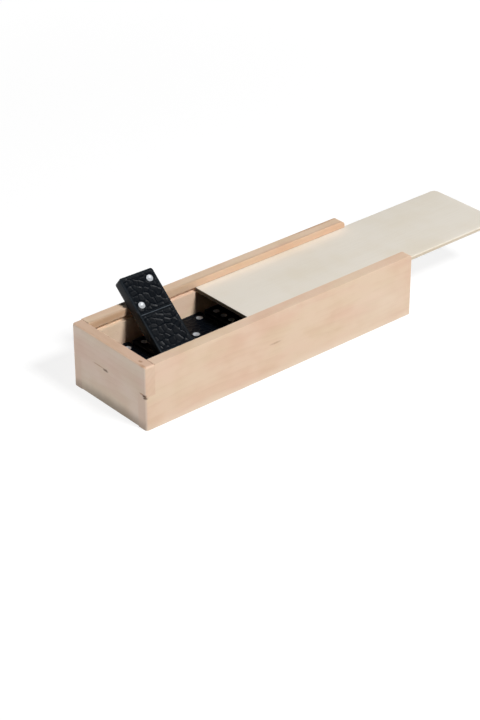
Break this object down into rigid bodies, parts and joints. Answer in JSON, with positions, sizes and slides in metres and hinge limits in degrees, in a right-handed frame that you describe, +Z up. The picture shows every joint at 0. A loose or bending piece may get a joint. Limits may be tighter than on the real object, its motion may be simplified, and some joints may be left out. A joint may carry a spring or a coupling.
{
  "type": "domino storage box",
  "caption": "Open-topped box of glued hardwood boards with a plywood lid sliding in grooves, holding stacked dominoes, one of them propped on the rim.",
  "frame": {"origin": "middle of the box's underside", "axes": "+X from the closed end to the exit end, the way the lid slides open; +Z up out of the box"},
  "size_m": [0.2654, 0.0667, 0.0519],
  "materials": {
    "side_wood": "sanded pale hardwood, unlacquered",
    "end_wood": "sanded pale hardwood, unlacquered",
    "base_plywood": "plain plywood",
    "lid_plywood": "sanded light plywood",
    "domino_black": "moulded satin black with silver pips"
  },
  "bodies": {
    "tray": {"closed_end": "end_wood", "exit_end": "end_wood", "near_side": "side_wood", "far_side": "side_wood", "base_panel": "base_plywood", "domino_lower_1": "domino_black", "domino_lower_2": "domino_black", "domino_lower_3": "domino_black", "domino_lower_4": "domino_black", "domino_lower_5": "domino_black", "domino_lower_6": "domino_black", "domino_lower_7": "domino_black", "domino_upper_1": "domino_black", "domino_upper_2": "domino_black", "domino_upper_3": "domino_black", "domino_upper_4": "domino_black", "domino_upper_5": "domino_black", "domino_upper_6": "domino_black", "domino_upper_7": "domino_black"},
    "lid": {"lid": "lid_plywood"},
    "propped_domino": {"domino_propped": "domino_black"}
  },
  "joints": [
    {"name": "lid_slide", "type": "slide", "parent": "tray", "child": "lid", "axis": [1, 0, 0], "range_m": [-0.024, 0.115]},
    {"name": "propped_domino_lift", "type": "slide", "parent": "tray", "child": "propped_domino", "axis": [0, 0, 1], "range_m": [0, 0.06]}
  ]
}
